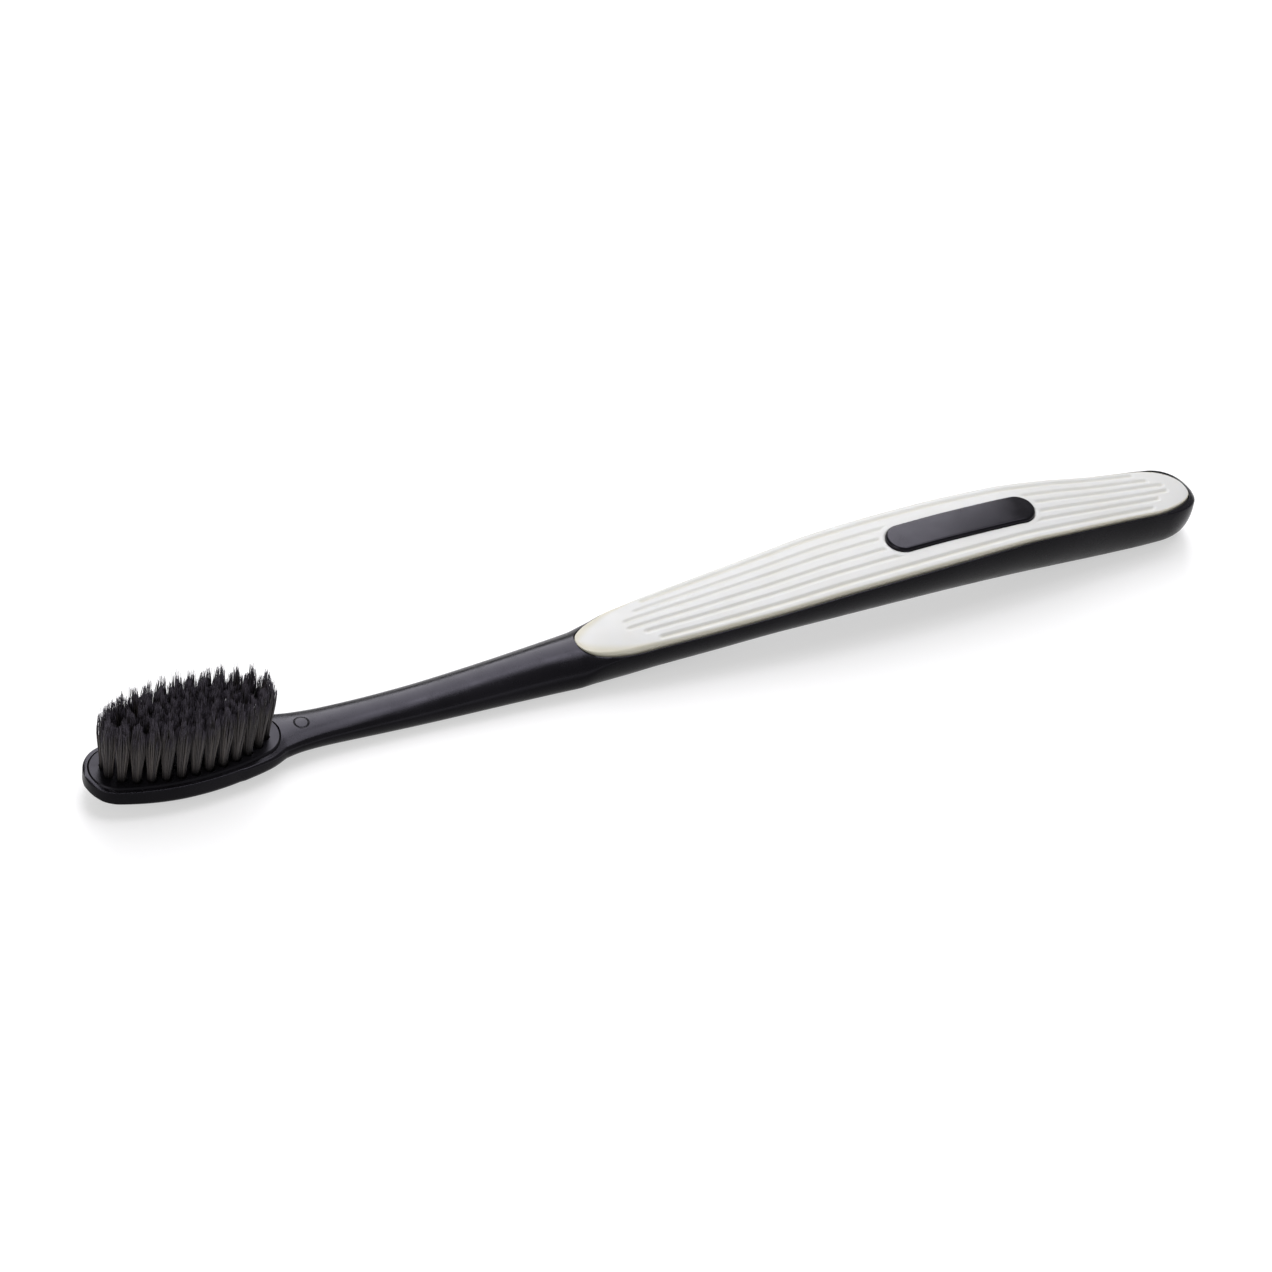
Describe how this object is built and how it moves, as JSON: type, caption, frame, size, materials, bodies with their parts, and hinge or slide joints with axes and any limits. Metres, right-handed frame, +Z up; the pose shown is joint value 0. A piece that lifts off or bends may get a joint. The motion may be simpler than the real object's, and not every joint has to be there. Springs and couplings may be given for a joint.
{
  "type": "manual toothbrush",
  "caption": "Manual toothbrush with a slim black handle, a ribbed off-white thumb grip round a bare raised island, and an oval head of tapered charcoal bristles.",
  "frame": {"origin": "centre of the footprint on the surface that the back of the handle rests on", "axes": "+X from the head's toe to the tail, +Y across the handle, +Z up along the bristles"},
  "size_m": [0.19, 0.015, 0.0179],
  "materials": {
    "core_plastic": "black polypropylene, semi-gloss",
    "grip_rubber": "off-white thermoplastic elastomer, satin",
    "plate_plastic": "black polypropylene, satin",
    "bristles": "charcoal tapered filaments",
    "bristle_backing": "melted filament layer"
  },
  "bodies": {
    "root": {"grip": "grip_rubber", "handle_core": "core_plastic", "head_plate": "plate_plastic", "tuft_01": "bristles", "tuft_02": "bristles", "tuft_03": "bristles", "tuft_04": "bristles", "tuft_05": "bristles", "tuft_06": "bristles", "tuft_07": "bristles", "tuft_08": "bristles", "tuft_09": "bristles", "tuft_10": "bristles", "tuft_11": "bristles", "tuft_12": "bristles", "tuft_13": "bristles", "tuft_14": "bristles", "tuft_15": "bristles", "tuft_16": "bristles", "tuft_17": "bristles", "tuft_18": "bristles", "tuft_19": "bristles", "tuft_20": "bristles", "tuft_21": "bristles", "tuft_22": "bristles", "tuft_23": "bristles", "tuft_24": "bristles", "tuft_25": "bristles", "tuft_26": "bristles", "tuft_27": "bristles", "tuft_28": "bristles", "tuft_29": "bristles", "tuft_30": "bristles", "tuft_31": "bristles", "tuft_32": "bristles", "tuft_33": "bristles", "tuft_34": "bristles", "tuft_35": "bristles", "tuft_36": "bristles", "tuft_37": "bristles", "tuft_38": "bristles", "tuft_39": "bristles", "tuft_40": "bristles", "tuft_41": "bristles", "tuft_42": "bristles", "tuft_43": "bristles", "tuft_44": "bristles", "tuft_45": "bristles", "tuft_46": "bristles", "tuft_47": "bristles", "tuft_backing": "bristle_backing"}
  },
  "joints": []
}
